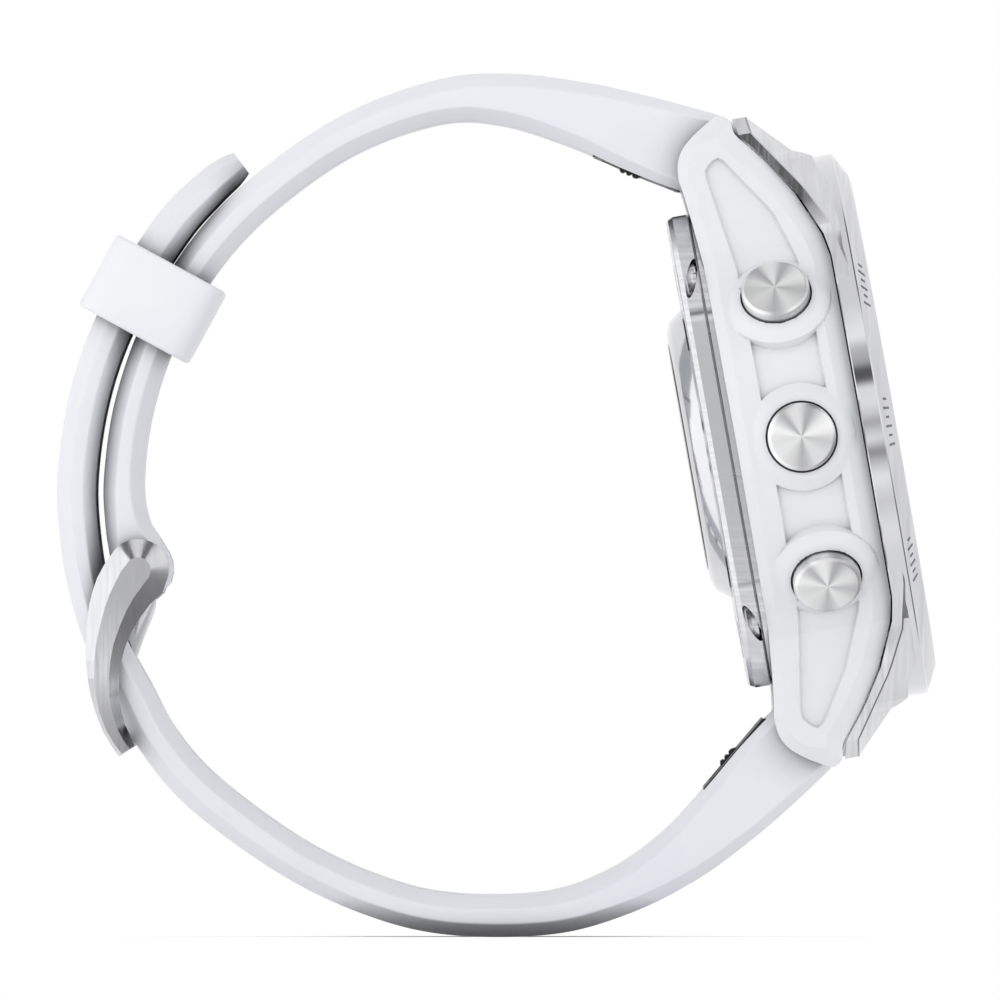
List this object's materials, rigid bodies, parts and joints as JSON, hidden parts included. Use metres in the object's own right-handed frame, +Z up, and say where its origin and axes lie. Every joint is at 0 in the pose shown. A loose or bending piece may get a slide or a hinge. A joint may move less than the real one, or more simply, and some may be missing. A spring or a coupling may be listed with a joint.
{
  "type": "gps running watch",
  "caption": "Round sports watch with steel bezel, side buttons and a pin-buckle strap closed into its worn loop, dial facing +X.",
  "frame": {"origin": "middle of the closed loop's bounding box, on the surface it stands on", "axes": "+X the way the dial faces (it looks ten degrees up), +Z up toward 12 o'clock, Y through the loop with the 9 o'clock side and its three buttons on -Y"},
  "size_m": [0.0672, 0.043, 0.066],
  "materials": {
    "fibre_polymer": "satin moulded fibre-reinforced polymer",
    "stainless_steel": "brushed and polished stainless steel",
    "silicone_rubber": "soft-touch moulded silicone",
    "mineral_glass": "polished",
    "black_acetal": "moulded black",
    "gasket_rubber": "matt black",
    "circuit_board": "solder mask",
    "pouch_cell": "foil",
    "display_stack": "dark reflective display",
    "gold_brass": "gold plated",
    "spring_steel": "drawn wire"
  },
  "bodies": {
    "watch": {"case_frame": "fibre_polymer", "bezel": "stainless_steel", "lens_gasket": "gasket_rubber", "display_lens": "mineral_glass", "display_panel": "display_stack", "display_tray": "stainless_steel", "main_board": "circuit_board", "battery": "pouch_cell", "vibration_motor": "stainless_steel", "haptic_shoe": "black_acetal", "inner_carrier": "black_acetal", "rear_cover": "stainless_steel", "rear_gasket": "gasket_rubber", "sensor_housing": "stainless_steel", "sensor_lens": "mineral_glass", "sensor_board": "circuit_board", "charge_block": "black_acetal", "lug_pin_upper": "stainless_steel", "lug_pin_lower": "stainless_steel", "strap_upper": "silicone_rubber", "strap_lower": "silicone_rubber", "latch_body_upper": "black_acetal", "latch_body_lower": "black_acetal", "buckle_bar": "stainless_steel", "rear_screw_1": "stainless_steel", "charge_contact_1": "gold_brass", "rear_screw_2": "stainless_steel", "charge_contact_2": "gold_brass", "rear_screw_3": "stainless_steel", "charge_contact_3": "gold_brass", "rear_screw_4": "stainless_steel", "charge_contact_4": "gold_brass", "sleeve_light": "black_acetal", "spring_light": "spring_steel", "sleeve_up_menu": "black_acetal", "spring_up_menu": "spring_steel", "sleeve_down": "black_acetal", "spring_down": "spring_steel", "sleeve_start_stop": "black_acetal", "spring_start_stop": "spring_steel", "sleeve_back_lap": "black_acetal", "spring_back_lap": "spring_steel"},
    "keeper_loop": {"keeper": "silicone_rubber"},
    "release_upper": {"latch_slider_upper": "black_acetal"},
    "release_lower": {"latch_slider_lower": "black_acetal"},
    "buckle": {"buckle_frame": "stainless_steel"},
    "tang": {"buckle_tang": "stainless_steel"},
    "press_light": {"button_light": "stainless_steel"},
    "press_up_menu": {"button_up_menu": "stainless_steel"},
    "press_down": {"button_down": "stainless_steel"},
    "press_start_stop": {"button_start_stop": "stainless_steel"},
    "press_back_lap": {"button_back_lap": "stainless_steel"}
  },
  "joints": [
    {"name": "light_press", "type": "slide", "parent": "watch", "child": "press_light", "axis": [0.1074, 0.788, -0.6062], "range_m": [0, 0.0005], "stiffness_N_per_m": 1500, "deforming": ["spring_light"]},
    {"name": "up_menu_press", "type": "slide", "parent": "watch", "child": "press_up_menu", "axis": [0, 1, 0], "range_m": [0, 0.0005], "stiffness_N_per_m": 1500, "deforming": ["spring_up_menu"]},
    {"name": "down_press", "type": "slide", "parent": "watch", "child": "press_down", "axis": [-0.1074, 0.788, 0.6062], "range_m": [0, 0.0005], "stiffness_N_per_m": 1500, "deforming": ["spring_down"]},
    {"name": "start_stop_press", "type": "slide", "parent": "watch", "child": "press_start_stop", "axis": [0.1074, -0.788, -0.6062], "range_m": [0, 0.0005], "stiffness_N_per_m": 1500, "deforming": ["spring_start_stop"]},
    {"name": "back_lap_press", "type": "slide", "parent": "watch", "child": "press_back_lap", "axis": [-0.1074, -0.788, 0.6062], "range_m": [0, 0.0005], "stiffness_N_per_m": 1500, "deforming": ["spring_back_lap"]},
    {"name": "release_upper_slide", "type": "slide", "parent": "watch", "child": "release_upper", "axis": [-0.9238, 0, 0.3828], "range_m": [0, 0.0012], "stiffness_N_per_m": 400},
    {"name": "release_lower_slide", "type": "slide", "parent": "watch", "child": "release_lower", "axis": [-0.644, 0, -0.765], "range_m": [0, 0.0012], "stiffness_N_per_m": 400},
    {"name": "buckle_hinge", "type": "hinge", "parent": "watch", "child": "buckle", "pos_m": [-0.027, 0, 0.0283], "axis": [0, 1, 0], "range_deg": [0, 2]},
    {"name": "tang_hinge", "type": "hinge", "parent": "buckle", "child": "tang", "pos_m": [-0.027, 0, 0.0283], "axis": [0, 1, 0], "range_deg": [0, 1]},
    {"name": "keeper_travel", "type": "hinge", "parent": "watch", "child": "keeper_loop", "pos_m": [0.002, 0, 0.0334], "axis": [0, 1, 0], "range_deg": [-4, 4]}
  ]
}
